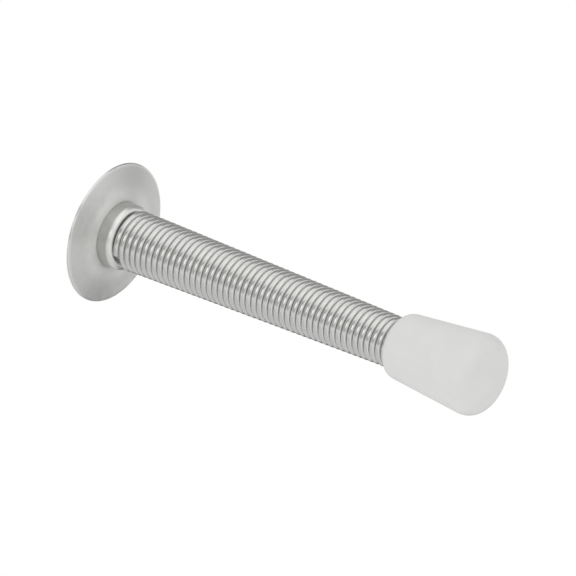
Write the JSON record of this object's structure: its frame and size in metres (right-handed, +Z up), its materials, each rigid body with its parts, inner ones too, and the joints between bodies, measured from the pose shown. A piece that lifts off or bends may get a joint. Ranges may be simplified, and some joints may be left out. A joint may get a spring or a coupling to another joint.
{
  "type": "spring door stop",
  "caption": "Wall-mounted door stop: pressed round rose, turned boss, close-wound tapered spring and flared white rubber tip.",
  "frame": {"origin": "centre of the screw hole in the wall plane, at the back of the rose", "axes": "+X along the stop's axis, away from the wall; +Z up on the wall"},
  "size_m": [0.0825, 0.0252, 0.0252],
  "materials": {
    "plated_sheet": "satin nickel plate on pressed steel",
    "plated_turned": "satin nickel plate on turned steel",
    "spring_wire": "bright nickel plate on drawn spring wire",
    "white_rubber": "matt moulded rubber"
  },
  "bodies": {
    "wall_base": {"base_plate": "plated_sheet", "spring_boss": "plated_turned"},
    "flexing_end": {"spring": "spring_wire", "tip": "white_rubber"}
  },
  "joints": [
    {"name": "spring_bend", "type": "hinge", "parent": "wall_base", "child": "flexing_end", "pos_m": [0.02677, 0, 0], "axis": [0, 0, 1], "range_deg": [-35, 35], "stiffness_Nm_per_rad": 0.08, "deforming": ["spring"]}
  ]
}
